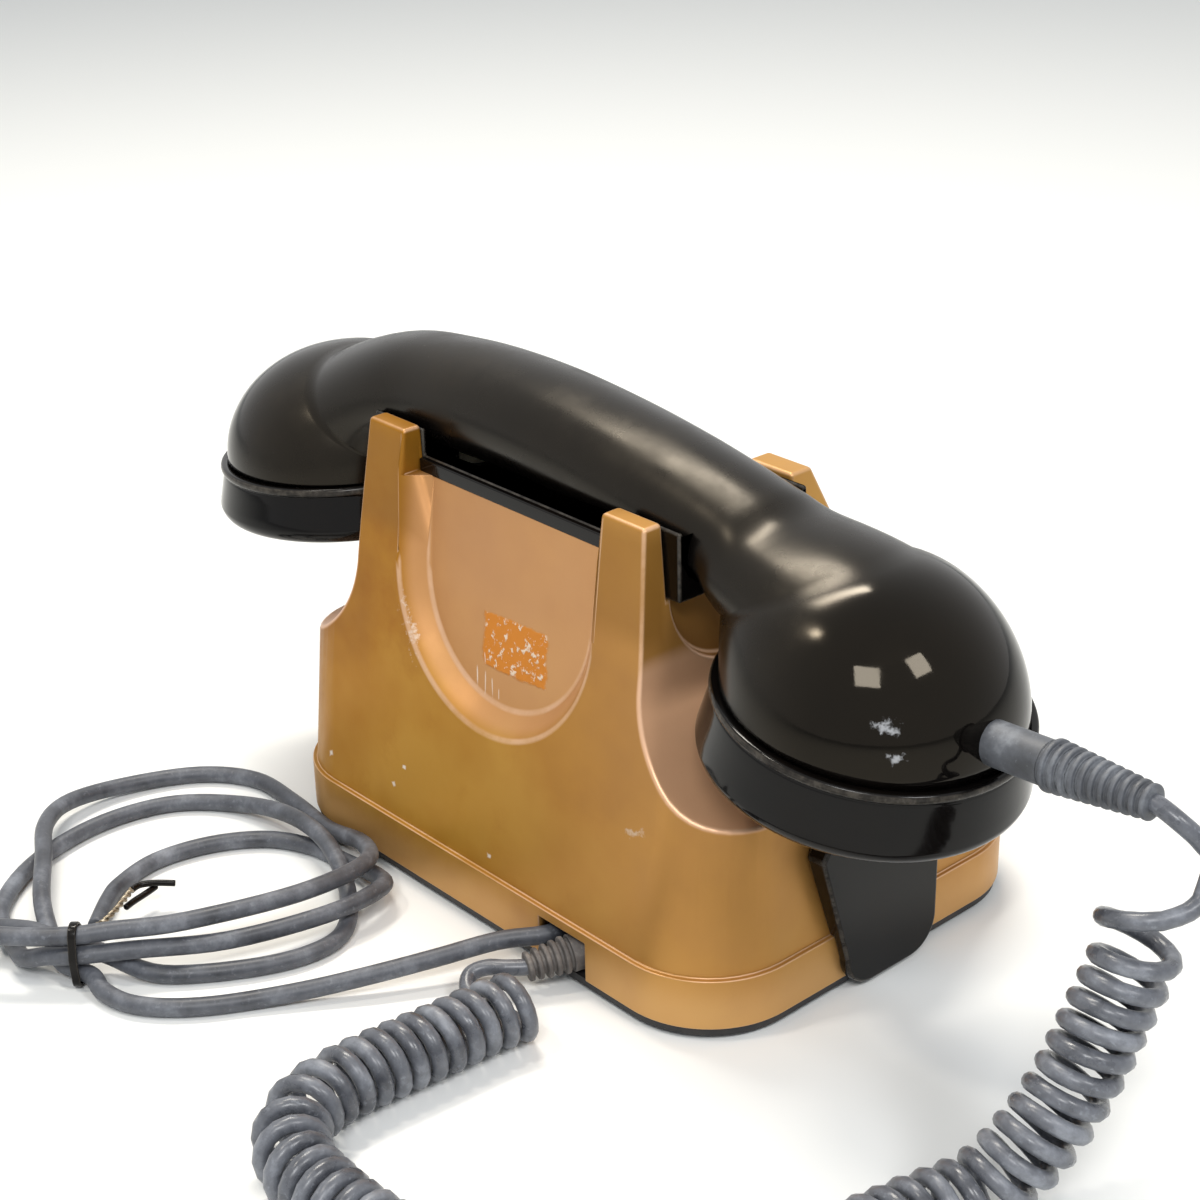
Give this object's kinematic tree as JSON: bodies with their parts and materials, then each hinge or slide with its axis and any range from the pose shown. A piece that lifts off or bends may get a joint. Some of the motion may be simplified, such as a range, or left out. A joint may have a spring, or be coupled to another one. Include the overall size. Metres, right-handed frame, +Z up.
{
  "type": "corded landline phone",
  "caption": "Desk telephone with a sloped dial front, a pronged cradle, a handset across it, a curly handset cord and a tied line cord.",
  "frame": {"origin": "under the middle of the housing, on the surface that it stands on", "axes": "+Z up, front with the dial at -Y, earpiece end at +X, mouthpiece and curly cord at -X"},
  "size_m": [0.2753, 0.2067, 0.1216],
  "materials": {
    "copper_shell": "copper-coloured, worn satin gloss",
    "black_plastic": "black, worn gloss",
    "base_paint": "black paint",
    "foot_rubber": "matt",
    "relief_rubber": "matt, dusty",
    "cord_sheath": "satin blue-grey",
    "tie_plastic": "black",
    "zinc_steel": "zinc plated",
    "gong_brass": "satin",
    "ivory_plastic": "ivory",
    "can_aluminium": "satin",
    "capsule_plastic": "matt grey"
  },
  "bodies": {
    "base": {"body_shell": "copper_shell", "base_plate": "base_paint", "rubber_feet": "foot_rubber", "base_screws": "zinc_steel", "cradle_saddle": "black_plastic", "side_cover": "black_plastic", "hook_switch_bracket": "zinc_steel", "hook_switch_springs": "gong_brass", "dial_mount": "black_plastic", "dial_case": "zinc_steel", "number_plate": "ivory_plastic", "finger_stop": "zinc_steel", "gong_left": "gong_brass", "gong_right": "gong_brass", "gong_screws": "zinc_steel", "ringer_coils": "gong_brass", "ringer_yoke": "zinc_steel", "induction_coil": "zinc_steel", "capacitor": "can_aluminium", "terminal_block": "black_plastic", "terminal_screws": "gong_brass", "cord_clamp": "zinc_steel", "base_strain_relief": "relief_rubber", "handset_cord_base": "cord_sheath", "handset_cord_coil": "cord_sheath", "handset_cord_top": "cord_sheath", "line_cord": "cord_sheath", "line_cord_hank": "cord_sheath", "line_cord_tie": "tie_plastic", "line_cord_wires": "tie_plastic"},
    "handset": {"handset_grip": "black_plastic", "mouth_cap": "black_plastic", "ear_cap": "black_plastic", "transmitter_capsule": "capsule_plastic", "receiver_capsule": "capsule_plastic", "handset_strain_relief": "relief_rubber"},
    "plungers": {"cradle_plungers": "ivory_plastic", "plunger_yoke": "zinc_steel"},
    "dial_wheel": {"finger_wheel_hub": "black_plastic", "finger_wheel_webs": "black_plastic", "finger_wheel_rim": "black_plastic", "dial_centre_cap": "zinc_steel", "dial_spindle": "zinc_steel"},
    "clapper": {"clapper": "zinc_steel"}
  },
  "joints": [
    {"name": "handset_lift", "type": "slide", "parent": "base", "child": "handset", "axis": [0, 0, 1], "range_m": [0, 0.12]},
    {"name": "plunger_travel", "type": "slide", "parent": "base", "child": "plungers", "axis": [0, 0, 1], "range_m": [0, 0.004]},
    {"name": "dial_spin", "type": "hinge", "parent": "base", "child": "dial_wheel", "pos_m": [0, -0.03164, 0.054], "axis": [0, 0.8948, -0.4464], "range_deg": [0, 318], "stiffness_Nm_per_rad": 0.006, "springref_deg": -22.92},
    {"name": "clapper_swing", "type": "hinge", "parent": "base", "child": "clapper", "pos_m": [0, 0.02, 0.007], "axis": [0, 1, 0], "range_deg": [-4.5, 4.5]}
  ],
  "couplings": [
    {"joint": "plunger_travel", "follows": "handset_lift", "ratio": 0.0333}
  ]
}
